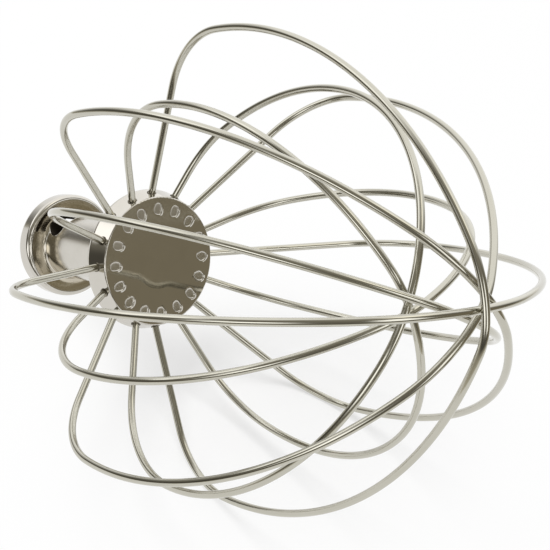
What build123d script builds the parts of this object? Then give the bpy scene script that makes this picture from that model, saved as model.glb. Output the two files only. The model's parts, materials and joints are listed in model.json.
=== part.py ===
"""Wire whisk of a stand mixer: a cast hub with eight bent wires staked into its flange.

The whisk is drawn along its own axis, with the face of the hub at zero and the nose of the wires
along +Z, and is then laid down as it comes to rest: on its collar and on two of the outer wires.
"""
from build123d import *
from math import cos, radians, sin
import os

# Hub: a tapered flange with a flat face, a neck and a coved collar
FACE_RADIUS = 20.0
FACE_EDGE = 0.5
FLANGE_RADIUS = 22.4
FLANGE_THICKNESS = 8.0
FLANGE_EDGE = 1.6
NECK_RADIUS = 10.5
NECK_FILLET = 2.0
COLLAR_RADIUS = 17.0
COLLAR_THICKNESS = 6.0
COLLAR_COVE = 2.0
COLLAR_EDGE = 1.4
HUB_LENGTH = 56.5

# Shaft socket: a bore from the collar, a keyway for the shaft's cross pin and its bayonet window
SHAFT_DIAMETER = 12.7
SHAFT_CLEARANCE = 0.1
SOCKET_DEPTH = 38.0
SOCKET_CHAMFER = 0.8
PIN_DIAMETER = 6.4
PIN_CLEARANCE = 0.5
PIN_REACH = 8.8
PIN_DROP = 13.6
PIN_TURN = 54.0
KEYWAY_ANGLE = 58.0

# Wires: one gauge for all, in drilled holes, with a stake mark over each end
WIRE_DIAMETER = 2.2
WIRE_FIT = 0.04
WIRE_DEPTH = 7.0
WIRE_GAP = 0.25
STAKE_INSET = 3.8
STAKE_WIDTH = 3.8
STAKE_FLOOR = 2.7
STAKE_DEPTH = 0.5

# Outer loops: where they leave the flange, how far the first one reaches and their shoulder bend,
# whose radius is a share of that reach
OUTER_ROW = 3.5
OUTER_RISE_ANGLE = 21.0
OUTER_REACH = 136.5
OUTER_SHOULDER_SHARE = 0.19
OUTER_SHOULDER_TURN = 64.0
OUTER_SIDE_TURN = 65.0
OUTER_FIRST_ANGLE = 67.5

# Inner loops: the same sizes of the smaller bend
INNER_ROW = 2.5
INNER_RISE_ANGLE = 24.0
INNER_REACH = 124.0
INNER_SHOULDER_SHARE = 0.29
INNER_SHOULDER_TURN = 52.0
INNER_SIDE_TURN = 61.0
INNER_FIRST_ANGLE = 45.0

# Hand bending of each loop: straight leg at either end (shares of the reach), extra shoulder turn at
# either end and lean of the loop (degrees), and its place below the outermost loop at the nose
# (wire pitches)
OUTER_BENDS = (
    {"legs": (0.264, 0.249), "turns": (0.0, 2.0), "lean": 1.0, "place": 0.0},
    {"legs": (0.234, 0.278), "turns": (-3.0, 2.0), "lean": -2.5, "place": 2.1},
    {"legs": (0.227, 0.337), "turns": (-8.0, 4.0), "lean": -1.0, "place": 1.0},
    {"legs": (0.242, 0.264), "turns": (-2.0, 3.0), "lean": 1.0, "place": 3.0},
)
INNER_BENDS = (
    {"legs": (0.073, 0.194), "turns": (-20.0, 11.0), "lean": 3.5, "place": 3.55},
    {"legs": (0.113, 0.137), "turns": (9.0, -4.0), "lean": 1.0, "place": 5.35},
    {"legs": (0.153, 0.056), "turns": (9.0, -11.0), "lean": 0.0, "place": 0.0},
    {"legs": (0.129, 0.0645), "turns": (11.0, -15.0), "lean": -0.5, "place": 4.25},
)

# Share of an end's extra shoulder turn that its side bend adds as well
SIDE_SHARE = 0.75

# The two outer loops, counted from zero, that the whisk lies on with their second halves
RESTING_LOOPS = (0, 1)
CONTACT_STEPS = 400
CONTACT_ROUNDS = 12

LOOPS_PER_SET = 4
HALF_TURN = 180.0
LOOP_STEP = HALF_TURN / LOOPS_PER_SET
WIRE_RADIUS = WIRE_DIAMETER / 2
SOCKET_RADIUS = SHAFT_DIAMETER / 2 + SHAFT_CLEARANCE


class Loop:
    """One bent wire: its plane on the hub, its two legs and the tangent arcs between them."""

    def __init__(self, first_angle, index, bend, row, rise, reach, shoulder_share, turns):
        self.angle = first_angle + LOOP_STEP * index
        self.row = row
        self.rise = rise
        self.legs = [share * reach for share in bend["legs"]]
        self.shoulder = shoulder_share * reach
        self.turns = turns
        self.bend = bend
        self.height = reach - bend["place"] * (WIRE_DIAMETER + WIRE_GAP) + row

    def plane(self):
        """Plane of the loop: X runs out to its first end and Y up to its nose."""
        turn = radians(self.angle)
        lean = radians(self.bend["lean"])
        across = Vector(cos(turn), sin(turn), 0)
        up = Vector(-sin(turn) * sin(lean), cos(turn) * sin(lean), cos(lean))
        return Plane(origin=(0, 0, -self.row), x_dir=across, z_dir=across.cross(up))

    def root(self):
        """Point on the flange where the leg's centre line leaves the rim of the face."""
        return Vector(FACE_RADIUS, 0)

    def leg_direction(self):
        """Direction of the leg, out of its hole."""
        return Vector(cos(radians(self.rise)), sin(radians(self.rise)))

    def half(self, end):
        """Edges of one half, from its end in the hub to the nose, always drawn on the +X side.

        Shoulder radius and turns are given. The radii of the side and of the nose follow from
        where the nose has to be, which is two equations in two unknowns.
        """
        extra = self.bend["turns"][end]
        shoulder_turn = self.turns[0] + extra
        side_turn = self.turns[1] + SIDE_SHARE * extra
        nose_turn = HALF_TURN - self.rise - shoulder_turn - side_turn
        start = self.root() - self.leg_direction() * WIRE_DEPTH
        bend_start = self.root() + self.leg_direction() * self.legs[end]
        heading = self.rise
        shoulder_end = bend_start + arc_step(heading, shoulder_turn) * self.shoulder
        side = arc_step(heading + shoulder_turn, side_turn)
        nose = arc_step(heading + shoulder_turn + side_turn, nose_turn)
        missing = Vector(0, self.height) - shoulder_end
        share = side.X * nose.Y - side.Y * nose.X
        side_radius = (missing.X * nose.Y - missing.Y * nose.X) / share
        nose_radius = (side.X * missing.Y - side.Y * missing.X) / share
        edges = [Line(start, bend_start)]
        bends = ((self.shoulder, shoulder_turn), (side_radius, side_turn), (nose_radius, nose_turn))
        for radius, turn in bends:
            edges.append(JernArc(edges[-1] @ 1, edges[-1] % 1, radius, turn))
        return edges

    def path(self):
        """Centre line of the whole wire, end to end, on the hub."""
        first = self.half(0)
        second = [edge.mirror(Plane.YZ) for edge in self.half(1)]
        return self.plane() * Wire(first + second)

    def solid(self):
        """The wire: its round section carried along the centre line."""
        path = self.path()
        section = Plane(origin=path @ 0, z_dir=path % 0) * Circle(WIRE_RADIUS)
        return sweep(section, path=path)

    def hole(self, end):
        """Drilled hole for one end, a little wider and deeper than the wire."""
        side = 1 if end == 0 else -1
        out = Vector(side * self.leg_direction().X, self.leg_direction().Y)
        root = Vector(side * self.root().X, self.root().Y)
        bottom = root - out * (WIRE_DEPTH + WIRE_FIT)
        length = WIRE_DEPTH + FLANGE_RADIUS - FACE_RADIUS + WIRE_DIAMETER
        drill = Plane(origin=bottom, z_dir=out) * extrude(Circle(WIRE_RADIUS + WIRE_FIT), length)
        return self.plane() * drill

    def stake(self, end):
        """Tapered stake mark in the face, over the wire's end."""
        turn = radians(self.angle + HALF_TURN * end)
        ring = FACE_RADIUS - STAKE_INSET
        place = Pos(ring * cos(turn), ring * sin(turn), -STAKE_DEPTH)
        return place * Cone(
            STAKE_FLOOR / 2, STAKE_WIDTH / 2, STAKE_DEPTH, align=(Align.CENTER, Align.CENTER, Align.MIN)
        )


def arc_step(heading, turn):
    """Displacement along an arc of radius one that starts at a heading and turns left."""
    before = radians(heading)
    after = radians(heading + turn)
    return Vector(sin(after) - sin(before), cos(before) - cos(after))


def hub_blank():
    """Turned outline of the hub: flange, neck, cove and collar, revolved about the axis."""
    collar_front = COLLAR_THICKNESS - HUB_LENGTH
    corners = (
        ((FACE_RADIUS, 0), FACE_EDGE),
        ((FLANGE_RADIUS, -FLANGE_THICKNESS), FLANGE_EDGE),
        ((NECK_RADIUS, -FLANGE_THICKNESS), NECK_FILLET),
        ((NECK_RADIUS, collar_front), COLLAR_COVE),
        ((COLLAR_RADIUS, collar_front), COLLAR_EDGE),
        ((COLLAR_RADIUS, -HUB_LENGTH), COLLAR_EDGE),
    )
    points = [(0, 0)] + [point for point, _ in corners] + [(0, -HUB_LENGTH)]
    outline = FilletPolyline(*points, radius=[0] + [edge for _, edge in corners] + [0], close=True)
    return revolve(Plane.XZ * make_face(outline), Axis.Z)


def socket():
    """Shaft bore with its mouth chamfer, the keyway for the cross pin and the bayonet window."""
    upward = (Align.CENTER, Align.CENTER, Align.MIN)
    mouth = Pos(0, 0, -HUB_LENGTH)
    slot = PIN_DIAMETER + 2 * PIN_CLEARANCE
    cut = mouth * Cylinder(SOCKET_RADIUS, SOCKET_DEPTH, align=upward)
    cut += mouth * Cone(SOCKET_RADIUS + SOCKET_CHAMFER, SOCKET_RADIUS, SOCKET_CHAMFER, align=upward)
    keyway = Box(PIN_REACH, slot, PIN_DROP, align=(Align.MIN, Align.CENTER, Align.MIN))
    cut += mouth * Rot(0, 0, KEYWAY_ANGLE) * keyway
    return cut


def bayonet_window():
    """Window through the wall that the cross pin turns in: a round end each side of a sector."""
    slot = PIN_DIAMETER + 2 * PIN_CLEARANCE
    level = PIN_DROP - slot / 2 - HUB_LENGTH
    outward = Plane(origin=(0, 0, level), x_dir=(0, 1, 0), z_dir=(1, 0, 0))
    end = outward * extrude(Circle(slot / 2), COLLAR_RADIUS)
    section = Plane.XZ * Pos(COLLAR_RADIUS / 2, level) * Rectangle(COLLAR_RADIUS, slot)
    window = end + Rot(0, 0, PIN_TURN) * end + revolve(section, Axis.Z, PIN_TURN)
    return Rot(0, 0, KEYWAY_ANGLE) * window


def hub(loops):
    """The casting with its socket, the drilled holes and the stake marks."""
    body = hub_blank() - socket() - bayonet_window()
    for loop in loops:
        body -= [loop.hole(0), loop.hole(1)]
        body -= [loop.stake(0), loop.stake(1)]
    return body


def lowest(points, up):
    """The point of a list that lies lowest along a direction."""
    return min(points, key=lambda point: point.dot(up))


def resting_direction(loops):
    """Direction that points up when the whisk lies on its collar and two outer wires.

    The plane through the three lowest points gives a new direction, and the points are found
    again along it until they stay put.
    """
    steps = [number / (2 * CONTACT_STEPS) for number in range(CONTACT_STEPS + 1)]
    wires = [[loops[number].path() @ (1 - step) for step in steps] for number in RESTING_LOOPS]
    up = Vector(0, 1, 0)
    for _ in range(CONTACT_ROUNDS):
        first, second = [lowest(wire, up) - up * WIRE_RADIUS for wire in wires]
        outward = Vector(up.X, up.Y, 0).normalized()
        flat = COLLAR_RADIUS - COLLAR_EDGE
        centre = Vector(0, 0, COLLAR_EDGE - HUB_LENGTH) - outward * flat
        collar = centre - up * COLLAR_EDGE
        up = (second - first).cross(collar - first).normalized()
        if up.Y < 0:
            up = up * -1
    return up


def resting_place(loops):
    """Location that turns the whisk from its own axis to how it lies, nose along +X."""
    up = resting_direction(loops)
    axis = Vector(0, 0, 1)
    ahead = (axis - up * axis.dot(up)).normalized()
    side = up.cross(ahead)
    plane = Plane(
        origin=(0, 0, 0), x_dir=(ahead.X, side.X, up.X), z_dir=(ahead.Z, side.Z, up.Z)
    )
    return plane.location


def main():
    outer = [
        Loop(OUTER_FIRST_ANGLE, index, bend, OUTER_ROW, OUTER_RISE_ANGLE, OUTER_REACH,
             OUTER_SHOULDER_SHARE, (OUTER_SHOULDER_TURN, OUTER_SIDE_TURN))
        for index, bend in enumerate(OUTER_BENDS)
    ]
    inner = [
        Loop(INNER_FIRST_ANGLE, index, bend, INNER_ROW, INNER_RISE_ANGLE, INNER_REACH,
             INNER_SHOULDER_SHARE, (INNER_SHOULDER_TURN, INNER_SIDE_TURN))
        for index, bend in enumerate(INNER_BENDS)
    ]
    pieces = {"hub": hub(outer + inner)}
    for name, loops in (("outer_wire", outer), ("inner_wire", inner)):
        for number, loop in enumerate(loops, start=1):
            pieces[f"{name}_{number}"] = loop.solid()
    place = resting_place(outer)
    laid = {name: piece.moved(place) for name, piece in pieces.items()}
    box = Compound(list(laid.values())).bounding_box()
    to_origin = Pos(-box.center().X, -box.center().Y, -box.min.Z)
    os.makedirs("parts", exist_ok=True)
    for name, piece in laid.items():
        export_step(piece.moved(to_origin), f"parts/{name}.step")


main()
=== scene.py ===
"""Looks of the wire whisk: drawn steel wires staked into a polished cast hub, on a pale floor.

The whisk's own frame has its face at zero and its axis along +Z, to the nose of the wires. It is found
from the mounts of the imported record, and every new piece is worked out in it and then laid into the
part's frame, in metres.
"""
import json
import bpy
import numpy as np
from mathutils import Matrix, Vector


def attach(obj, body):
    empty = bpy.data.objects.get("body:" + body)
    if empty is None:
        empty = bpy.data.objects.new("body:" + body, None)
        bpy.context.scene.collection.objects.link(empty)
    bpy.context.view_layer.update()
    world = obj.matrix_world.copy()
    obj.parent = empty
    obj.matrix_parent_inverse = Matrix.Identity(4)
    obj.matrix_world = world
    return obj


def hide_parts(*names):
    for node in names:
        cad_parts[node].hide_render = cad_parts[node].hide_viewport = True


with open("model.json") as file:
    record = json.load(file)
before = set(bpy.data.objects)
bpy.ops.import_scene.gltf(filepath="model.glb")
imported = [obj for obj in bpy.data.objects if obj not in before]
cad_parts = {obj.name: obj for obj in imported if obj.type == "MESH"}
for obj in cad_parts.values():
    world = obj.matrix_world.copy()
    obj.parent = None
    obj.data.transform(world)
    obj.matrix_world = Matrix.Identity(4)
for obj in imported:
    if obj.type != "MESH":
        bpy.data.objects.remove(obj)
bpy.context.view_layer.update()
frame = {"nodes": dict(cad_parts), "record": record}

MM = 0.001

# Hub, as in the part
FACE_RADIUS = 20.0 * MM
FLANGE_RADIUS = 22.4 * MM
FLANGE_THICKNESS = 8.0 * MM
NECK_RADIUS = 10.5 * MM
COLLAR_THICKNESS = 6.0 * MM
COLLAR_COVE = 2.0 * MM
HUB_LENGTH = 56.5 * MM

# Shaft socket and bayonet window, as in the part
SOCKET_MIDDLE = 37.1 * MM
SLOT_ANGLE = 85.0
SLOT_TURN = 54.0
SLOT_WIDTH = 7.4 * MM
SLOT_FIRST, SLOT_LAST = np.radians([SLOT_ANGLE - SLOT_TURN / 2, SLOT_ANGLE + SLOT_TURN / 2]).tolist()
SLOT_LEVEL = -46.6 * MM

# Stake marks, and the metal that the punch pushed up around them
STAKE_RING = 16.2 * MM
STAKES = 16
STAKE_SIDES = 48
STAKE_LEAN = np.radians(-48.0)
STAKE_LONG = np.array([2.52, 2.38, 2.25, 2.12, 2.00, 1.93, 1.86, 1.76, 1.60, 1.30, 0.85, 0.40]) * MM
STAKE_WIDE = np.array([2.14, 1.98, 1.83, 1.68, 1.55, 1.48, 1.41, 1.32, 1.18, 0.95, 0.62, 0.30]) * MM
STAKE_HEIGHTS = np.array([
    -0.003, 0.012, 0.03, 0.049, 0.055, 0.03, -0.03, -0.10, -0.15, -0.175, -0.185, -0.19,
]) * MM
STAKE_STRUCK = np.array([0.0, 0.0, 0.0, 0.2, 0.4, 0.5, 0.6, 0.8, 1.0, 1.0, 1.0, 1.0])

# Unevenness of the marks: waves around each, their size and their step from mark to mark
STAKE_WAVES = ((2, 0.03, 0.9), (3, 0.04, 2.4), (4, 0.03, 1.3))

# Push of the punch: even share, share that turns from mark to mark with its step, share on the lean's side
PUSH_EVEN = 0.45
PUSH_TURNING = 0.25
PUSH_STEP = 2.4
PUSH_LEAN = 2.6

# Wires, as in the part: reach, shoulder radius as a share of the reach, shoulder and side turns, depth of
# the row of holes, rise and first angle
WIRE_RADIUS = 1.1 * MM
WIRE_DEPTH = 7.0 * MM
WIRE_PITCH = 2.45 * MM
SIDE_SHARE = 0.75
LOOP_STEP = 45.0
OUTER = {
    "reach": 136.5 * MM, "shoulder": 0.19, "turns": (64.0, 65.0),
    "row": 3.5 * MM, "rise": 21.0, "first": 67.5,
}
INNER = {
    "reach": 124.0 * MM, "shoulder": 0.29, "turns": (52.0, 61.0),
    "row": 2.5 * MM, "rise": 24.0, "first": 45.0,
}

# Hand bending of each loop: legs (shares of the reach), extra turns, lean and place at the nose
OUTER_BENDS = (
    ((0.264, 0.249), (0.0, 2.0), 1.0, 0.0),
    ((0.234, 0.278), (-3.0, 2.0), -2.5, 2.1),
    ((0.227, 0.337), (-8.0, 4.0), -1.0, 1.0),
    ((0.242, 0.264), (-2.0, 3.0), 1.0, 3.0),
)
INNER_BENDS = (
    ((0.073, 0.194), (-20.0, 11.0), 3.5, 3.55),
    ((0.113, 0.137), (9.0, -4.0), 1.0, 5.35),
    ((0.153, 0.056), (9.0, -11.0), 0.0, 0.0),
    ((0.129, 0.0645), (11.0, -15.0), -0.5, 4.25),
)

# Fineness of the wires' surfaces
WIRE_SIDES = 28
WIRE_STEP = 1.2 * MM

# Ring of peened metal around each wire at the flange: its waves are counts, sizes and steps
PEEN_RADIUS = 1.22 * MM
PEEN_SECTION = 0.24 * MM
PEEN_SIDES = 32
PEEN_ROUND = 10
PEEN_WAVES = ((2, 0.25, 1.9), (3, 0.15, 2.7))

# Rounded edge of the bayonet window: its waves are counts and sizes
LIP_SECTION = 0.2 * MM
LIP_SINK = 0.1 * MM
LIP_STEPS = 48
LIP_ROUND = 12
LIP_WAVES = ((5, 0.1), (13, 0.06))

# Shallow bowl in the collar's front: radii where it begins and ends, where its slope ends, and where its
# rise and its rim begin and end, with the heights of the three
BOWL_ENDS = (11.0 * MM, 16.2 * MM)
BOWL_SLOPE = 15.0 * MM
BOWL_RISE = (14.0 * MM, 15.6 * MM)
BOWL_RIM = (15.6 * MM, 16.2 * MM)
SLOPE_HEIGHT = 0.50 * MM
RISE_HEIGHT = 0.16 * MM
RIM_DROP = 0.58 * MM

# Join of the bowl with the cove, and the angles beside the bayonet window over which the slope fades to
# the share that stays below it
BOWL_BLEND = 0.32 * MM
BOWL_SETTLE = 0.08 * MM
BOWL_FADE = (0.40, 0.15)
BOWL_SHARE = 0.25
BOWL_SINK = 0.3 * MM
BOWL_ROWS = 64
BOWL_SIDES = 192

# Shallow hollow that the polishing wheel left in the face: its place, radius and depth
HOLLOW = (-2.5 * MM, -3.0 * MM, 0.0)
HOLLOW_RADIUS = 6.5 * MM
HOLLOW_DEPTH = 0.06 * MM

# Drawn steel: its lines along and around the wire, its dull film, and its colour without and with film
LINE_STRETCH = (18.0, 14.0, 1.0)
LINE_SCALE = 3.0
LINE_DETAIL = 6.0
LINE_GRAIN = 0.65
LINE_DULLNESS = 0.05
LINE_STRENGTH = 0.12
LINE_DEPTH = 0.06 * MM
FILM_SCALE = 55.0
FILM_DETAIL = 3.0
FILM_SPAN = (0.35, 0.7)
FILM_DULLNESS = (0.05, 0.11)
STEEL_CLEAR = (0.57, 0.553, 0.485)
STEEL_FILMED = (0.49, 0.473, 0.40)

# Polished casting: rings of the polishing wheel, mottle, and the colours of both tones of the mottle
RING_SCALE = 3200.0
RING_DETAIL = 4.0
RING_DULLNESS = 0.02
RING_STRENGTH = 0.04
RING_DEPTH = 0.04 * MM
MOTTLE_SCALE = 160.0
MOTTLE_DETAIL = 4.0
MOTTLE_DULLNESS = 0.02
CASTING_LIGHT = (0.64, 0.615, 0.565)
CASTING_GREY = (0.58, 0.555, 0.50)

# Zones of the casting, in the whisk's own frame: spans of level, of height on the face or of radius, and
# the dullness and the colour that they add
FACE_LEVEL = (-6.0 * MM, -0.5 * MM)
FACE_DULLNESS = (0.07, 0.015)
NECK_FOOT = (-48.0 * MM, -43.0 * MM)
NECK_TOP = (-10.0 * MM, -6.0 * MM)
NECK_DULLNESS = 0.08
UPPER_SIDE = (4.0 * MM, 10.0 * MM)
UPPER_LEVEL = (-1.0 * MM, -0.3 * MM)
UPPER_DULLNESS = 0.10
DISH_LEVEL = (-50.8 * MM, -49.0 * MM)
DISH_RIM = (15.0 * MM, 15.6 * MM)
DISH_DULLNESS = 0.06
# Warm tint of the collar's dish: a painted reflection of warm surroundings mirrored in it
DISH_PAINTED_REFLECTION = (0.62, 0.56, 0.44)
BORE_WALL = (-0.6 * MM, -0.2 * MM)
BORE_TOP = (-19.0 * MM, -18.0 * MM)
BORE_MOUTH = (-56.4 * MM, -56.0 * MM)
BORE_DULLNESS = 0.4
# Near-black colour of the bore's walls: painted shade inside the socket
BORE_PAINTED_SHADE = (0.05, 0.042, 0.03)
STRUCK_DULLNESS = 0.23

# Metal squeezed around the wires: its mottle, and its colours, which are painted shade for the dark gaps
# around the wires
ROOT_MOTTLE_SCALE = 900.0
ROOT_MOTTLE_DETAIL = 4.0
ROOT_MOTTLE_GRAIN = 0.6
ROOT_SHADE_TONES = (0.38, 0.68)
ROOT_MOTTLE_SPAN = (0.35, 0.7)
ROOT_MOTTLE_DULLNESS = (0.5, 0.28)
ROOT_MOTTLE_STRENGTH = 0.5
ROOT_MOTTLE_DEPTH = 0.12 * MM
# Both tones are painted shade for the gaps around the wires
ROOT_SHADE_DARK = (0.07, 0.06, 0.042)
ROOT_SHADE_LIGHT = (0.30, 0.275, 0.225)

# Paper floor: half its side, points along a side, colour, and the share of plain white where it is seen,
# which grows with the distance from the middle of the whisk's shadows
FLOOR_HALF = 4.0
FLOOR_POINTS = 3
FLOOR_COLOUR = (0.96, 0.96, 0.96, 1.0)
FLOOR_GLOW = (0.50, 0.92)
GLOW_MIDDLE = (0.005, 0.015, 0.0)
GLOW_REACH = (0.015, 0.085)
WHITE = (1.0, 1.0, 1.0, 1.0)

# Light of the white surroundings on things
SKY_LIGHT = 0.57

# Soft box overhead: heading and elevation, distance, side and power
LAMP_SIDE = (-172.0, 74.0)
LAMP_DISTANCE = 1.7
LAMP_SIZE = 0.75
LAMP_POWER = 14.5

# Room around the paper, which only the metal shows: its size, and the paper's edge with its tail behind
# the collar
ROOM_RADIUS = 2.0
ROOM_MIDDLE = np.array([0.0, 0.0, 0.06])
ROOM_LIFT = 1.0 * MM
PAPER_EDGE = 0.32
PAPER_TAIL = 0.35
TAIL_WIDTH = np.radians(34.0)
ROOM_COLUMNS = 240
FLOOR_ROWS = 8
WALL_ROWS = 72

# Tones of the room, and the elevations or heights over which they change
WALL_TONE = 0.20
WALL_TINT = np.array([1.0, 0.94, 0.78])
HORIZON_TONE = 0.09
HORIZON_SPAN = (1.0, 12.0)
GROUND_TONE = 0.60
GROUND_SPAN = (-10.0, -2.0)
CEILING_TONE = 0.10
CEILING_SPAN = (0.6, 0.98)

# Bright opening: heading and elevation, light, span of nearness, and how far its top is dimmed
OPENING = (133.0, 28.0)
OPENING_LIGHT = 1.25
OPENING_SPAN = (0.25, 0.72)
OPENING_TOP = (0.88, 0.97)
OPENING_CUT = 0.65

# Backdrop below the opening: heading and half width, its elevations, and where the opening ends beside it
BACKDROP = (115.0, 64.0)
BACKDROP_HEIGHT = (-90.0, 90.0)
BACKDROP_FOOT = (8.0, 24.0)

# Strip boxes: heading, half width, lowest and highest elevation, and strength, with their soft ends
STRIP_BOXES = (
    (-80.0, 18.0, 10.0, 31.0, 2.0), (-10.0, 15.0, 10.0, 50.0, 1.8), (-150.0, 18.0, 20.0, 48.0, 1.7),
    (-110.0, 9.0, 31.0, 43.0, 0.8),
)
STRIP_FOOT = 3.0
STRIP_HEAD = 4.0

# Cards and ceiling box: heading, elevation and half width, with their colours
BROWN_CARD = (29.0, 7.0, 26.0)
BROWN = np.array([0.24, 0.212, 0.151])
DARK_CARD = (-124.0, 3.0, 13.0)
DARK = np.array([0.08, 0.075, 0.062])
CEILING_BOX = (62.0, 65.0, 13.0)
CEILING_LIGHT = np.array([1.7, 1.65, 1.5])

# Camera at the photograph's viewing angle
CAMERA_AIM = (-0.0057, 0.01888, 0.04193)
CAMERA_HEADING = -49.263
CAMERA_ELEVATION = 44.462
CAMERA_DISTANCE = 0.45
CAMERA_ROLL = 7.577
PICTURE_SIDE = 550.0
FOCAL_PIXELS = 1448.86
SENSOR = 36.0


def whisk_frame(record):
    """Turn and place of the whisk's own frame, from the socket's axis and the bayonet slot's direction."""
    mounts = {mount["name"]: mount for mount in record["mounts"]}
    nose = -Vector(mounts["shaft_socket"]["axis"]).normalized()
    face = Vector(mounts["shaft_socket"]["pos_m"]) + nose * SOCKET_MIDDLE
    slot = Vector(mounts["bayonet_slot"]["axis"])
    slot = (slot - nose * slot.dot(nose)).normalized()
    across = Matrix.Rotation(np.radians(-SLOT_ANGLE), 3, nose) @ slot
    turn = np.column_stack([across, nose.cross(across), nose])
    return turn, np.array(face)


TURN, FACE = whisk_frame(frame["record"])


def lay(points):
    """Points of the whisk's own frame, laid into the part's frame."""
    return points @ TURN.T + FACE


def smooth(low, high, value):
    """Smooth step from nought at one value to one at another."""
    share = np.clip((value - low) / (high - low), 0.0, 1.0)
    return share * share * (3.0 - 2.0 * share)


def waved(angle, number, waves):
    """One, plus cosines of an angle, whose phases step with the number of the piece."""
    return 1.0 + sum(size * np.cos(count * angle + step * number) for count, size, step in waves)


def toward(heading, elevation):
    """Unit direction of a heading and an elevation in degrees."""
    heading, elevation = np.radians(heading), np.radians(elevation)
    flat = np.cos(elevation)
    return np.array([flat * np.cos(heading), flat * np.sin(heading), np.sin(elevation)])


def grid_faces(rows, columns, wrap_rows=False, wrap_columns=True):
    """Quads of a grid of points, row after row, which may close on itself either way."""
    row = np.arange(rows if wrap_rows else rows - 1)[:, None]
    column = np.arange(columns if wrap_columns else columns - 1)[None, :]
    following = (row + 1) % rows
    right = (column + 1) % columns
    here, below = row * columns, following * columns
    quads = (here + column, here + right, below + right, below + column)
    return np.stack(np.broadcast_arrays(*quads), axis=-1).reshape(-1, 4)


def repeat_faces(faces, points, copies):
    """The same faces for each of several copies of a piece, whose points follow one another."""
    return (faces[None] + points * np.arange(copies)[:, None, None]).reshape(-1, faces.shape[1])


def add_piece(name, points, quads, material, uv=None, fans=None, struck=None):
    """Mesh of quads and triangles from whole arrays, smooth, riding on the whisk."""
    fans = np.zeros((0, 3), int) if fans is None else fans
    corners = np.concatenate([quads.ravel(), fans.ravel()])
    sizes = np.concatenate([np.full(len(quads), 4), np.full(len(fans), 3)])
    mesh = bpy.data.meshes.new(name)
    mesh.vertices.add(len(points))
    mesh.vertices.foreach_set("co", points.astype(np.float32).ravel())
    mesh.loops.add(len(corners))
    mesh.loops.foreach_set("vertex_index", corners.astype(np.int32))
    mesh.polygons.add(len(sizes))
    mesh.polygons.foreach_set("loop_start", np.concatenate([[0], np.cumsum(sizes)[:-1]]).astype(np.int32))
    mesh.polygons.foreach_set("use_smooth", np.ones(len(sizes), bool))
    mesh.update(calc_edges=True)
    if uv is not None:
        layer = mesh.uv_layers.new(name="along_wire")
        layer.data.foreach_set("uv", uv.astype(np.float32).ravel())
    if struck is not None:
        marks = mesh.attributes.new("struck", "FLOAT", "POINT")
        marks.data.foreach_set("value", struck.astype(np.float32))
    mesh.validate()
    mesh.materials.append(material)
    piece = bpy.data.objects.new(name, mesh)
    bpy.context.scene.collection.objects.link(piece)
    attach(piece, "root")
    return piece


def arc_step(heading, turn):
    """Way along an arc of radius one: sine and cosine differences of the headings at its two ends."""
    before, after = np.radians(heading), np.radians(heading + turn)
    return np.stack([np.sin(after) - np.sin(before), np.cos(before) - np.cos(after)], axis=-1)


def half_loop(kind, leg, extra, height):
    """Half of a loop in its own plane: a straight leg, then shoulder, side and nose arcs, all tangent.

    The radii of the side and of the nose are the two unknowns that bring the end to the nose's place.
    """
    rise = kind["rise"]
    turns = [kind["turns"][0] + extra, kind["turns"][1] + SIDE_SHARE * extra]
    turns.append(180.0 - rise - sum(turns))
    ahead = np.array([np.cos(np.radians(rise)), np.sin(np.radians(rise))])
    root = np.array([FACE_RADIUS, 0.0])
    bend = root + ahead * leg
    shoulder = kind["shoulder"] * kind["reach"]
    headings = rise + np.concatenate([[0.0], np.cumsum(turns)[:-1]])
    missing = np.array([0.0, height]) - bend - shoulder * arc_step(headings[0], turns[0])
    ways = np.column_stack([arc_step(headings[1], turns[1]), arc_step(headings[2], turns[2])])
    radii = np.concatenate([[shoulder], np.linalg.solve(ways, missing)])
    start = root - ahead * WIRE_DEPTH
    count = int(np.ceil((leg + WIRE_DEPTH) / WIRE_STEP))
    points = [start + (bend - start) * np.linspace(0, 1, count, endpoint=False)[:, None]]
    courses = [np.full(count, rise)]
    here = bend
    for radius, heading, turn in zip(radii, headings, turns):
        count = int(np.ceil(radius * np.radians(turn) / WIRE_STEP))
        part = np.linspace(0, turn, count, endpoint=False)
        points.append(here + radius * arc_step(heading, part))
        courses.append(heading + part)
        here = here + radius * arc_step(heading, turn)
    return np.vstack(points), np.concatenate(courses), here


def wire_line(kind, bend):
    """Centre line of one loop in its plane, end to end, with the course at each point."""
    legs, extras, _, place = bend
    height = kind["reach"] - place * WIRE_PITCH + kind["row"]
    first, course, nose = half_loop(kind, legs[0] * kind["reach"], extras[0], height)
    second, back, _ = half_loop(kind, legs[1] * kind["reach"], extras[1], height)
    points = np.vstack([first, nose, second[::-1] * [-1, 1]])
    courses = np.concatenate([course, [180.0], -back[::-1]])
    return points, np.radians(courses)


def loop_axes(kind, index, bend):
    """Directions across and up of a loop's plane, the one square to both, and where the plane starts."""
    angle = np.radians(kind["first"] + LOOP_STEP * index)
    lean = np.radians(bend[2])
    across = np.array([np.cos(angle), np.sin(angle), 0.0])
    up = np.array([-np.sin(angle) * np.sin(lean), np.cos(angle) * np.sin(lean), np.cos(lean)])
    return across, up, np.cross(across, up), np.array([0.0, 0.0, -kind["row"]])


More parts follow.
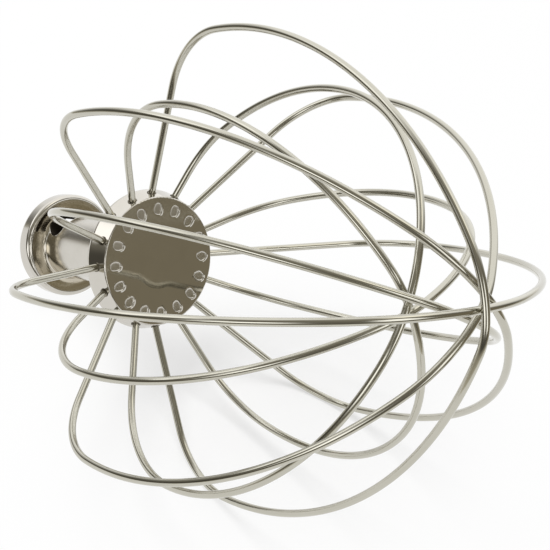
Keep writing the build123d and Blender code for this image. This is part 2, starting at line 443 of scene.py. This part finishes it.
def wire_piece(name, kind, index, bend, material):
    """One wire: a circle carried along its centre line, square to the course, with closed ends."""
    line, course = wire_line(kind, bend)
    across, up, square, base = loop_axes(kind, index, bend)
    centre = base + line[:, :1] * across + line[:, 1:] * up
    inward = -np.sin(course)[:, None] * across + np.cos(course)[:, None] * up
    around = np.linspace(0, 2 * np.pi, WIRE_SIDES, endpoint=False)
    ring = np.cos(around)[None, :, None] * inward[:, None, :] + np.sin(around)[None, :, None] * square
    tube = (centre[:, None, :] + WIRE_RADIUS * ring).reshape(-1, 3)
    rows = len(centre)
    points = np.vstack([tube, centre[:1], centre[-1:]])
    quads = grid_faces(rows, WIRE_SIDES)
    side = np.arange(WIRE_SIDES)
    beside = (side + 1) % WIRE_SIDES
    last = (rows - 1) * WIRE_SIDES
    fans = np.vstack([
        np.column_stack([np.full(WIRE_SIDES, rows * WIRE_SIDES), beside, side]),
        np.column_stack([np.full(WIRE_SIDES, rows * WIRE_SIDES + 1), last + side, last + beside]),
    ])
    length = np.concatenate([[0.0], np.cumsum(np.linalg.norm(np.diff(centre, axis=0), axis=1))])
    turn = np.tile(np.stack([side, side + 1, side + 1, side], axis=-1), (rows - 1, 1)) / WIRE_SIDES
    along = length[quads // WIRE_SIDES]
    uv = np.concatenate([np.stack([along, turn], axis=-1).reshape(-1, 2), np.zeros((fans.size, 2))])
    piece = add_piece(name + "_drawn", lay(points), quads, material, uv, fans)
    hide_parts(name)


def stake_marks(material):
    """Stake marks in the face: a low lip and a bowl, carried around each mark on ovals along the radius.

    The ovals swell and shrink a little with the second, third and fourth cosine of the angle around
    the mark, with phases that step from mark to mark, so that no two marks are alike. The lip's height
    turns with the cosine of that angle, and grows with the third power of the cosine towards the side
    that the punch leaned to. The outermost oval sinks into the face.
    """
    mark = np.arange(STAKES)[:, None]
    around = np.linspace(0, 2 * np.pi, STAKE_SIDES, endpoint=False)[None, :]
    place = 2 * np.pi * mark / STAKES
    uneven = waved(around, mark, STAKE_WAVES)
    out = STAKE_LONG[None, :, None] * (uneven * np.cos(around))[:, None, :]
    beside = STAKE_WIDE[None, :, None] * (uneven * np.sin(around))[:, None, :]
    lean = np.clip(np.cos(around + place - STAKE_LEAN), 0.0, None)
    push = PUSH_EVEN + PUSH_TURNING * np.cos(around - PUSH_STEP * mark) + PUSH_LEAN * lean ** 3
    height = STAKE_HEIGHTS[None, :, None]
    height = np.where(height > 0, push[:, None, :], 1.0) * height
    rows = len(STAKE_LONG)
    turn_cos, turn_sin = np.cos(place)[:, :, None], np.sin(place)[:, :, None]
    x = (STAKE_RING + out) * turn_cos - beside * turn_sin
    y = (STAKE_RING + out) * turn_sin + beside * turn_cos
    rim = np.stack([x, y, height], axis=-1).reshape(STAKES, -1, 3)
    middle = np.column_stack([
        STAKE_RING * np.cos(place), STAKE_RING * np.sin(place), np.full(STAKES, STAKE_HEIGHTS[-1])
    ])
    points = np.concatenate([rim, middle[:, None, :]], axis=1)
    side = np.arange(STAKE_SIDES)
    last = (rows - 1) * STAKE_SIDES
    floor = np.column_stack([
        last + side, last + (side + 1) % STAKE_SIDES, np.full(STAKE_SIDES, rows * STAKE_SIDES)
    ])
    count = points.shape[1]
    quads = repeat_faces(grid_faces(rows, STAKE_SIDES), count, STAKES)
    fans = repeat_faces(floor, count, STAKES)
    struck = np.tile(np.append(np.repeat(STAKE_STRUCK, STAKE_SIDES), STAKE_STRUCK[-1]), STAKES)
    add_piece("stake_marks", lay(points.reshape(-1, 3)), quads, material, fans=fans, struck=struck)


def wire_roots():
    """Where each wire leaves the flange's tapered side, and its direction there."""
    places, ways = [], []
    taper = (FLANGE_RADIUS - FACE_RADIUS) / FLANGE_THICKNESS
    for kind, bends in ((OUTER, OUTER_BENDS), (INNER, INNER_BENDS)):
        rise = np.radians(kind["rise"])
        out = taper * kind["row"] / (np.cos(rise) + taper * np.sin(rise))
        for index, bend in enumerate(bends):
            across, up, _, base = loop_axes(kind, index, bend)
            for end in (1.0, -1.0):
                way = end * np.cos(rise) * across + np.sin(rise) * up
                places.append(base + end * FACE_RADIUS * across + out * way)
                ways.append(way)
    return np.array(places), np.array(ways)


def peened_rings(material):
    """Ring of peened metal around each wire at the flange: a circle carried around the wire.

    The small circle's size swells and shrinks with the second and third cosine of the angle around.
    """
    places, ways = wire_roots()
    count = len(places)
    side = np.cross(ways, [0.0, 0.0, 1.0])
    side /= np.linalg.norm(side, axis=1, keepdims=True)
    over = np.cross(ways, side)
    around = np.linspace(0, 2 * np.pi, PEEN_SIDES, endpoint=False)
    section = np.linspace(0, 2 * np.pi, PEEN_ROUND, endpoint=False)
    number = np.arange(count)[:, None]
    size = waved(around, number, PEEN_WAVES)
    outward = side[:, None, :] * np.cos(around)[None, :, None]
    outward = outward + over[:, None, :] * np.sin(around)[None, :, None]
    reach = PEEN_RADIUS + PEEN_SECTION * size[:, :, None] * np.cos(section)
    lift = PEEN_SECTION * size[:, :, None] * np.sin(section)
    points = places[:, None, None, :] + reach[..., None] * outward[:, :, None, :]
    points = points + lift[..., None] * ways[:, None, None, :]
    faces = grid_faces(PEEN_SIDES, PEEN_ROUND, wrap_rows=True)[:, ::-1]
    quads = repeat_faces(faces, PEEN_SIDES * PEEN_ROUND, count)
    add_piece("peened_rings", lay(points.reshape(-1, 3)), quads, material)


def window_line():
    """Edge of the bayonet window on the neck and in the cove, and the direction out of the metal there.

    Half a circle at either end of the slot and two rings between them, taken out from the axis to the
    outline of the hub: the neck's radius, and past it the quarter circle of the cove.
    """
    half = SLOT_WIDTH / 2
    bow = np.linspace(-np.pi / 2, np.pi / 2, LIP_STEPS, endpoint=False)
    sweep = np.linspace(0, 1, LIP_STEPS, endpoint=False)
    still, full = np.zeros(LIP_STEPS), np.ones(LIP_STEPS)
    turn = SLOT_LAST - SLOT_FIRST
    angle = np.concatenate([
        SLOT_LAST * full, SLOT_LAST - turn * sweep, SLOT_FIRST * full, SLOT_FIRST + turn * sweep,
    ])
    offset = half * np.concatenate([np.cos(bow), still, -np.cos(bow), still])
    level = SLOT_LEVEL + half * np.concatenate([np.sin(bow), full, -np.sin(bow), -full])
    cove_start = COLLAR_THICKNESS + COLLAR_COVE - HUB_LENGTH
    cove_middle = NECK_RADIUS + COLLAR_COVE
    below = np.clip(cove_start - level, 0.0, COLLAR_COVE)
    radius = cove_middle - np.sqrt(COLLAR_COVE ** 2 - below ** 2)
    reach = np.sqrt(radius ** 2 - offset ** 2)
    x = reach * np.cos(angle) - offset * np.sin(angle)
    y = reach * np.sin(angle) + offset * np.cos(angle)
    line = np.column_stack([x, y, level])
    lean = np.column_stack([cove_middle - radius, below]) / COLLAR_COVE
    outward = np.column_stack([lean[:, :1] * np.column_stack([x, y]) / radius[:, None], lean[:, 1:]])
    return line, outward


def window_lip(material):
    """Rounded edge of the bayonet window: a circle carried along the window's edge, sunk into the metal.

    Its size swells and shrinks along the way with two sines, as a filed edge does.
    """
    line, outward = window_line()
    steps = len(line)
    course = np.roll(line, -1, axis=0) - np.roll(line, 1, axis=0)
    course /= np.linalg.norm(course, axis=1, keepdims=True)
    beside = np.cross(course, outward)
    way = 2 * np.pi * np.arange(steps) / steps
    size = LIP_SECTION * (1.0 + sum(share * np.sin(count * way) for count, share in LIP_WAVES))
    section = np.linspace(0, 2 * np.pi, LIP_ROUND, endpoint=False)
    turn = np.cos(section)[None, :, None] * outward[:, None, :]
    turn = turn + np.sin(section)[None, :, None] * beside[:, None, :]
    points = (line - LIP_SINK * outward)[:, None, :] + size[:, None, None] * turn
    quads = grid_faces(steps, LIP_ROUND, wrap_rows=True)
    add_piece("window_lip", lay(points.reshape(-1, 3)), quads, material)


def collar_bowl(material):
    """Shallow bowl in the front of the collar: a profile carried around the axis.

    With the radius, the profile comes down from the cove by a square, which is joined to the cove's
    circle by a hyperbola, then rises to the rim and rounds off over it by two smooth steps. The square
    is lower below the bayonet window. The first point is sunk into the collar, the last into the rim.
    """
    radius = np.linspace(*BOWL_ENDS, BOWL_ROWS)[:, None]
    around = np.linspace(0, 2 * np.pi, BOWL_SIDES, endpoint=False)[None, :]
    far, near = BOWL_FADE
    window = smooth(SLOT_FIRST - far, SLOT_FIRST - near, around)
    window = window * (1.0 - smooth(SLOT_LAST + near, SLOT_LAST + far, around))
    slope = SLOPE_HEIGHT * np.clip((BOWL_SLOPE - radius) / (BOWL_SLOPE - BOWL_ENDS[0]), 0.0, None) ** 2
    across = np.clip(NECK_RADIUS + COLLAR_COVE - radius, 0.0, None)
    cove = COLLAR_COVE - np.sqrt(COLLAR_COVE ** 2 - across ** 2)
    joined = 0.5 * (slope + cove + np.hypot(slope - cove, BOWL_BLEND)) - BOWL_SETTLE
    height = joined * (1.0 - window) + BOWL_SHARE * slope * window
    height = height + RISE_HEIGHT * smooth(*BOWL_RISE, radius) - RIM_DROP * smooth(*BOWL_RIM, radius)
    height[0] = -BOWL_SINK
    level = COLLAR_THICKNESS - HUB_LENGTH + height
    x, y = radius * np.cos(around), radius * np.sin(around)
    points = np.stack(np.broadcast_arrays(x, y, level), axis=-1).reshape(-1, 3)
    add_piece("collar_bowl", lay(points), grid_faces(BOWL_ROWS, BOWL_SIDES)[:, ::-1], material)


def new_material(name):
    """Empty node material with its Principled shader and output."""
    material = bpy.data.materials.new(name)
    material.use_nodes = True
    tree = material.node_tree
    tree.nodes.clear()
    shader = tree.nodes.new("ShaderNodeBsdfPrincipled")
    output = tree.nodes.new("ShaderNodeOutputMaterial")
    tree.links.new(shader.outputs["BSDF"], output.inputs["Surface"])
    return material, tree, shader


def node(tree, kind, inputs=None, **settings):
    """Shader node with its settings, and its inputs linked or set."""
    made = tree.nodes.new(kind)
    for key, value in settings.items():
        setattr(made, key, value)
    for key, value in (inputs or {}).items():
        if isinstance(value, bpy.types.NodeSocket):
            tree.links.new(value, made.inputs[key])
        else:
            made.inputs[key].default_value = value
    return made


def reading(tree, value, low, high, to_low, to_high):
    """Value mapped smoothly from one span to another."""
    made = node(tree, "ShaderNodeMapRange", interpolation_type="SMOOTHSTEP", inputs={
        "Value": value, "From Min": low, "From Max": high, "To Min": to_low, "To Max": to_high,
    })
    return made.outputs["Result"]


def rising(tree, value, span):
    """Nought to one over a span of a value."""
    return reading(tree, value, *span, 0.0, 1.0)


def falling(tree, value, span):
    """One to nought over a span of a value."""
    return reading(tree, value, *span, 1.0, 0.0)


def sum_of(tree, value, share, rest):
    """Value times a share, plus the rest."""
    made = node(tree, "ShaderNodeMath", operation="MULTIPLY_ADD", inputs={0: value, 1: share, 2: rest})
    return made.outputs["Value"]


def product(tree, first, second):
    """Two values multiplied."""
    return node(tree, "ShaderNodeMath", operation="MULTIPLY", inputs={0: first, 1: second}).outputs["Value"]


def noise(tree, place, scale, detail, roughness=0.5):
    """Noise at a place."""
    made = node(tree, "ShaderNodeTexNoise", inputs={
        "Vector": place, "Scale": scale, "Detail": detail, "Roughness": roughness,
    })
    return made.outputs["Fac"]


def tint(tree, share, first, second):
    """Colour between two others."""
    made = node(tree, "ShaderNodeMix", data_type="RGBA", inputs={"Factor": share})
    for name, colour in (("A", first), ("B", second)):
        if isinstance(colour, bpy.types.NodeSocket):
            tree.links.new(colour, made.inputs[name])
        else:
            made.inputs[name].default_value = colour + (1.0,)
    return made.outputs["Result"]


def drawn_steel():
    """Polished stainless wire: fine lines along its length and a thin dull film in patches."""
    material, tree, shader = new_material("drawn_steel")
    coordinates = node(tree, "ShaderNodeTexCoord")
    stretched = node(tree, "ShaderNodeMapping", inputs={
        "Vector": coordinates.outputs["UV"], "Scale": LINE_STRETCH,
    })
    lines = noise(tree, stretched.outputs["Vector"], LINE_SCALE, LINE_DETAIL, LINE_GRAIN)
    film = noise(tree, coordinates.outputs["Object"], FILM_SCALE, FILM_DETAIL)
    shine = reading(tree, film, *FILM_SPAN, *FILM_DULLNESS)
    rough = sum_of(tree, lines, LINE_DULLNESS, shine)
    colour = tint(tree, film, STEEL_CLEAR, STEEL_FILMED)
    bump = node(tree, "ShaderNodeBump", inputs={
        "Height": lines, "Strength": LINE_STRENGTH, "Distance": LINE_DEPTH,
    })
    shader.inputs["Metallic"].default_value = 1.0
    tree.links.new(colour, shader.inputs["Base Color"])
    tree.links.new(rough, shader.inputs["Roughness"])
    tree.links.new(bump.outputs["Normal"], shader.inputs["Normal"])
    return material


def outline_radius(tree, level):
    """Radius of the neck and of the cove at a level: the neck's, and past it the cove's quarter circle."""
    below = node(tree, "ShaderNodeMath", operation="SUBTRACT", inputs={
        0: COLLAR_THICKNESS + COLLAR_COVE - HUB_LENGTH, 1: level,
    })
    below = node(tree, "ShaderNodeClamp", inputs={
        "Value": below.outputs["Value"], "Min": 0.0, "Max": COLLAR_COVE,
    })
    square = product(tree, below.outputs["Result"], below.outputs["Result"])
    left = node(tree, "ShaderNodeMath", operation="SUBTRACT", inputs={0: COLLAR_COVE ** 2, 1: square})
    across = node(tree, "ShaderNodeMath", operation="SQRT", inputs={0: left.outputs["Value"]})
    radius = node(tree, "ShaderNodeMath", operation="SUBTRACT", inputs={
        0: NECK_RADIUS + COLLAR_COVE, 1: across.outputs["Value"],
    })
    return radius.outputs["Value"]


def polished_casting():
    """Polished hub: fine rings from the polishing wheel, a slight mottle and a satin neck.

    The upper part of the face is duller, the stake marks are dull where the punch struck, the dish of the
    collar gets a warm tint that is a painted reflection, and the bore's walls get a near-black colour that
    is painted shade.
    """
    material, tree, shader = new_material("polished_casting")
    coordinates = node(tree, "ShaderNodeTexCoord")
    back = Matrix(TURN.T.tolist())
    own = node(tree, "ShaderNodeMapping", inputs={"Vector": coordinates.outputs["Object"]})
    own.inputs["Rotation"].default_value = back.to_euler("XYZ")
    own.inputs["Location"].default_value = -(back @ Vector(FACE))
    split = node(tree, "ShaderNodeSeparateXYZ", inputs={"Vector": own.outputs["Vector"]})
    level = split.outputs["Z"]
    flat = node(tree, "ShaderNodeCombineXYZ", inputs={"X": split.outputs["X"], "Y": split.outputs["Y"]})
    radius = node(tree, "ShaderNodeVectorMath", operation="LENGTH", inputs={0: flat.outputs["Vector"]})
    radius = radius.outputs["Value"]
    course = node(tree, "ShaderNodeMath", operation="SUBTRACT", inputs={0: radius, 1: level})
    rings = node(tree, "ShaderNodeTexNoise", noise_dimensions="1D", inputs={
        "W": product(tree, course.outputs["Value"], RING_SCALE), "Scale": 1.0, "Detail": RING_DETAIL,
    }).outputs["Fac"]
    mottle = noise(tree, own.outputs["Vector"], MOTTLE_SCALE, MOTTLE_DETAIL)
    neck = product(tree, rising(tree, level, NECK_FOOT), falling(tree, level, NECK_TOP))
    upper = product(tree, rising(tree, split.outputs["Y"], UPPER_SIDE), rising(tree, level, UPPER_LEVEL))
    dish = product(tree, falling(tree, level, DISH_LEVEL), falling(tree, radius, DISH_RIM))
    inner = node(tree, "ShaderNodeMath", operation="SUBTRACT", inputs={
        0: radius, 1: outline_radius(tree, level),
    })
    # Mask of the bore's walls, which are painted dark as shade
    bore_shade_mask = product(tree, falling(tree, inner.outputs["Value"], BORE_WALL), falling(tree, level, BORE_TOP))
    bore_shade_mask = product(tree, bore_shade_mask, rising(tree, level, BORE_MOUTH))
    struck = node(tree, "ShaderNodeAttribute", attribute_name="struck")
    rough = reading(tree, level, *FACE_LEVEL, *FACE_DULLNESS)
    for share, dullness in (
        (neck, NECK_DULLNESS), (upper, UPPER_DULLNESS), (dish, DISH_DULLNESS), (rings, RING_DULLNESS),
        (mottle, MOTTLE_DULLNESS), (bore_shade_mask, BORE_DULLNESS), (struck.outputs["Fac"], STRUCK_DULLNESS),
    ):
        rough = sum_of(tree, share, dullness, rough)
    bright = tint(tree, mottle, CASTING_LIGHT, CASTING_GREY)
    # Painted reflection: the dish takes a warm tint
    with_painted_reflection = tint(tree, dish, bright, DISH_PAINTED_REFLECTION)
    # Painted shade: the bore's walls take a near-black colour
    colour = tint(tree, bore_shade_mask, with_painted_reflection, BORE_PAINTED_SHADE)
    apart = node(tree, "ShaderNodeVectorMath", operation="DISTANCE", inputs={
        0: flat.outputs["Vector"], 1: HOLLOW,
    })
    bowl = rising(tree, apart.outputs["Value"], (0.0, HOLLOW_RADIUS))
    hollow = node(tree, "ShaderNodeBump", inputs={"Height": bowl, "Strength": 1.0, "Distance": HOLLOW_DEPTH})
    bump = node(tree, "ShaderNodeBump", inputs={
        "Height": rings, "Strength": RING_STRENGTH, "Distance": RING_DEPTH,
        "Normal": hollow.outputs["Normal"],
    })
    shader.inputs["Metallic"].default_value = 1.0
    tree.links.new(colour, shader.inputs["Base Color"])
    tree.links.new(rough, shader.inputs["Roughness"])
    tree.links.new(bump.outputs["Normal"], shader.inputs["Normal"])
    return material


def shaded_dull_casting():
    """Metal squeezed around the wires' ends: rough and mottled, with dark colours that are painted shade for
    the gaps around the wires.
    """
    material, tree, shader = new_material("shaded_dull_casting")
    coordinates = node(tree, "ShaderNodeTexCoord")
    root_mottle = noise(tree, coordinates.outputs["Object"], ROOT_MOTTLE_SCALE, ROOT_MOTTLE_DETAIL, ROOT_MOTTLE_GRAIN)
    # Painted shade: the mottle picks between two dark tones for the gaps around the wires
    colour = tint(tree, rising(tree, root_mottle, ROOT_SHADE_TONES), ROOT_SHADE_DARK, ROOT_SHADE_LIGHT)
    rough = reading(tree, root_mottle, *ROOT_MOTTLE_SPAN, *ROOT_MOTTLE_DULLNESS)
    bump = node(tree, "ShaderNodeBump", inputs={
        "Height": root_mottle, "Strength": ROOT_MOTTLE_STRENGTH, "Distance": ROOT_MOTTLE_DEPTH,
    })
    shader.inputs["Metallic"].default_value = 1.0
    tree.links.new(colour, shader.inputs["Base Color"])
    tree.links.new(rough, shader.inputs["Roughness"])
    tree.links.new(bump.outputs["Normal"], shader.inputs["Normal"])
    return material


def seen_ray(tree):
    """One for a ray from the camera, a reflection or through glass, and nought for the light on things."""
    path = node(tree, "ShaderNodeLightPath")
    either = node(tree, "ShaderNodeMath", operation="MAXIMUM", inputs={
        0: path.outputs["Is Camera Ray"], 1: path.outputs["Is Glossy Ray"],
    })
    seen = node(tree, "ShaderNodeMath", operation="MAXIMUM", inputs={
        0: either.outputs["Value"], 1: path.outputs["Is Transmission Ray"],
    })
    return seen.outputs["Value"]


def stage_material(name):
    """Empty node material for a piece of the studio."""
    material = bpy.data.materials.new(name)
    material.use_nodes = True
    material.node_tree.nodes.clear()
    return material, material.node_tree


def add_stage(name, points, quads, material):
    """Piece of the studio, which isn't part of the object."""
    mesh = bpy.data.meshes.new(name)
    mesh.from_pydata(points.tolist(), [], quads.tolist())
    mesh.materials.append(material)
    piece = bpy.data.objects.new(name, mesh)
    bpy.context.scene.collection.objects.link(piece)
    return piece


def pale_floor():
    """White paper floor: flat grid whose own shade is mixed with plain white where it is seen.

    The share of white grows smoothly with the distance from the middle of the whisk's shadows.
    """
    side = np.linspace(-FLOOR_HALF, FLOOR_HALF, FLOOR_POINTS)
    x, y = np.meshgrid(side, side)
    points = np.column_stack([x.ravel(), y.ravel(), np.zeros(x.size)])
    material, tree = stage_material("white_paper")
    paper = node(tree, "ShaderNodeBsdfDiffuse", inputs={"Color": FLOOR_COLOUR})
    glow = node(tree, "ShaderNodeEmission", inputs={"Color": WHITE, "Strength": 1.0})
    coordinates = node(tree, "ShaderNodeTexCoord")
    apart = node(tree, "ShaderNodeVectorMath", operation="DISTANCE", inputs={
        0: coordinates.outputs["Object"], 1: GLOW_MIDDLE,
    })
    share = product(tree, seen_ray(tree), reading(tree, apart.outputs["Value"], *GLOW_REACH, *FLOOR_GLOW))
    mix = node(tree, "ShaderNodeMixShader", inputs={
        0: share, 1: paper.outputs["BSDF"], 2: glow.outputs["Emission"],
    })
    node(tree, "ShaderNodeOutputMaterial", inputs={"Surface": mix.outputs["Shader"]})
    add_stage("pale_floor", points, grid_faces(FLOOR_POINTS, FLOOR_POINTS, wrap_columns=False), material)


def white_sky():
    """Even white surroundings: full white where they are seen, softer as light on the floor."""
    world = bpy.data.worlds.new("white_surroundings")
    bpy.context.scene.world = world
    world.use_nodes = True
    tree = world.node_tree
    tree.nodes.clear()
    strength = node(tree, "ShaderNodeMapRange", inputs={
        "Value": seen_ray(tree), "To Min": SKY_LIGHT, "To Max": 1.0,
    })
    sky = node(tree, "ShaderNodeBackground", inputs={"Color": WHITE, "Strength": strength.outputs["Result"]})
    node(tree, "ShaderNodeOutputWorld", inputs={"Surface": sky.outputs["Background"]})


def patch(direction, heading, elevation, width):
    """One at a direction, and nought away from it: a bell of the angle's fourth power."""
    angle = np.degrees(np.arccos(np.clip(direction @ toward(heading, elevation), -1.0, 1.0)))
    return np.exp(-(angle / width) ** 4)


def strip(direction, heading, width, low, high):
    """One on an upright strip: a bell of the heading's fourth power between two elevations."""
    across = np.degrees(np.arctan2(direction[:, 1], direction[:, 0])) - heading
    across = (across + 180.0) % 360.0 - 180.0
    rise = np.degrees(np.arcsin(direction[:, 2]))
    ends = smooth(low - STRIP_FOOT, low + STRIP_FOOT, rise)
    ends = ends * (1.0 - smooth(high - STRIP_HEAD, high + STRIP_HEAD, rise))
    return np.exp(-(across / width) ** 4) * ends


def room_light(direction):
    """Light of the room in each direction, as red, green and blue.

    The walls are darkest at the horizon, and lighter above it, at the ceiling and on the ground beside
    the paper. A bright opening behind the whisk fades with the angle from its middle and comes down to
    the floor only at the backdrop. A brown card, a dark card and a ceiling box fade with the angle from
    their middles, and strip boxes stand upright in front of the walls.
    """
    height = direction[:, 2]
    rise = np.degrees(np.arcsin(height))
    walls = HORIZON_TONE + (WALL_TONE - HORIZON_TONE) * smooth(*HORIZON_SPAN, rise)
    walls = walls + (GROUND_TONE - HORIZON_TONE) * (1.0 - smooth(*GROUND_SPAN, rise))
    walls = walls + CEILING_TONE * smooth(*CEILING_SPAN, height)
    opening = smooth(*OPENING_SPAN, direction @ toward(*OPENING))
    opening = opening * (1.0 - OPENING_CUT * smooth(*OPENING_TOP, height))
    backdrop = strip(direction, *BACKDROP, *BACKDROP_HEIGHT)
    opening = opening * (backdrop + (1.0 - backdrop) * smooth(*BACKDROP_FOOT, rise))
    light = walls[:, None] * WALL_TINT * (1.0 - opening[:, None]) + OPENING_LIGHT * opening[:, None]
    for place, colour in ((BROWN_CARD, BROWN), (DARK_CARD, DARK), (CEILING_BOX, CEILING_LIGHT)):
        card = patch(direction, *place)[:, None]
        light = light * (1.0 - card) + colour * card
    for heading, width, low, high, strength in STRIP_BOXES:
        share = strip(direction, heading, width, low, high)[:, None]
        light = light * (1.0 - share) + strength * share
    return light


def dark_room():
    """Room around the paper: out along the floor from the paper's edge, then up a dome to its top.

    The paper's edge is a circle with a tail: a bell of the fourth power of the angle around.
    """
    around = np.linspace(0, 2 * np.pi, ROOM_COLUMNS, endpoint=False)[None, :]
    edge = PAPER_EDGE * (1.0 + PAPER_TAIL * np.exp(-((around - np.pi) / TAIL_WIDTH) ** 4))
    reach = edge + (ROOM_RADIUS - edge) * np.linspace(0, 1, FLOOR_ROWS, endpoint=False)[:, None]
    rise = np.linspace(0, np.pi / 2, WALL_ROWS)[:, None]
    radius = np.concatenate([reach, ROOM_RADIUS * np.cos(rise) * np.ones_like(around)])
    level = np.concatenate([np.zeros((FLOOR_ROWS, 1)), ROOM_RADIUS * np.sin(rise)]) + ROOM_LIFT
    points = np.stack(np.broadcast_arrays(radius * np.cos(around), radius * np.sin(around), level), axis=-1)
    points = points.reshape(-1, 3)
    material, tree = stage_material("room_walls")
    tone = node(tree, "ShaderNodeAttribute", attribute_name="room_light")
    walls = node(tree, "ShaderNodeEmission", inputs={"Color": tone.outputs["Color"], "Strength": 1.0})
    node(tree, "ShaderNodeOutputMaterial", inputs={"Surface": walls.outputs["Emission"]})
    room = add_stage("dark_room", points, grid_faces(FLOOR_ROWS + WALL_ROWS, ROOM_COLUMNS), material)
    direction = points - ROOM_MIDDLE
    direction /= np.linalg.norm(direction, axis=1, keepdims=True)
    colours = np.column_stack([room_light(direction), np.ones(len(points))])
    attribute = room.data.attributes.new("room_light", "FLOAT_COLOR", "POINT")
    attribute.data.foreach_set("color", colours.astype(np.float32).ravel())
    room.visible_camera = False
    room.visible_diffuse = False
    room.visible_shadow = False


def soft_lamp(name, place, aim, size, power):
    """Square soft box that faces a point."""
    light = bpy.data.lights.new(name, "AREA")
    light.shape = "SQUARE"
    light.size = size
    light.energy = power
    lamp = bpy.data.objects.new(name, light)
    lamp.location = place
    lamp.rotation_euler = (Vector(aim) - Vector(place)).to_track_quat("-Z", "Y").to_euler()
    lamp.visible_glossy = False
    bpy.context.scene.collection.objects.link(lamp)


def photo_camera():
    """Camera that looks from the photograph's side, with its lens and its slight roll."""
    back = Vector(toward(CAMERA_HEADING, CAMERA_ELEVATION))
    level = Vector((0, 0, 1)).cross(back).normalized()
    upright = back.cross(level)
    roll = np.radians(CAMERA_ROLL)
    right = level * np.cos(roll) + upright * np.sin(roll)
    up = back.cross(right)
    data = bpy.data.cameras.new("photo_camera")
    data.sensor_width = SENSOR
    data.lens = SENSOR * FOCAL_PIXELS / PICTURE_SIDE
    camera = bpy.data.objects.new("photo_camera", data)
    turn = Matrix((right, up, back)).transposed().to_4x4()
    camera.matrix_world = Matrix.Translation(Vector(CAMERA_AIM) + back * CAMERA_DISTANCE) @ turn
    bpy.context.scene.collection.objects.link(camera)
    bpy.context.scene.camera = camera


def dress_hub(material):
    """Finish of the hub, which is shown as it is in the part."""
    hub = frame["nodes"]["hub"]
    hub.data.materials.clear()
    hub.data.materials.append(material)


steel = drawn_steel()
casting = polished_casting()
dress_hub(casting)
for number, bend in enumerate(OUTER_BENDS):
    wire_piece(f"outer_wire_{number + 1}", OUTER, number, bend, steel)
for number, bend in enumerate(INNER_BENDS):
    wire_piece(f"inner_wire_{number + 1}", INNER, number, bend, steel)
stake_marks(casting)
# The peened rings take the dark colours of painted shade around the wires
peened_rings(shaded_dull_casting())
window_lip(casting)
collar_bowl(casting)

pale_floor()
white_sky()
dark_room()
soft_lamp("overhead_box", LAMP_DISTANCE * toward(*LAMP_SIDE), (0.0, 0.0, 0.0), LAMP_SIZE, LAMP_POWER)
photo_camera()
bpy.context.scene.view_settings.view_transform = "Standard"
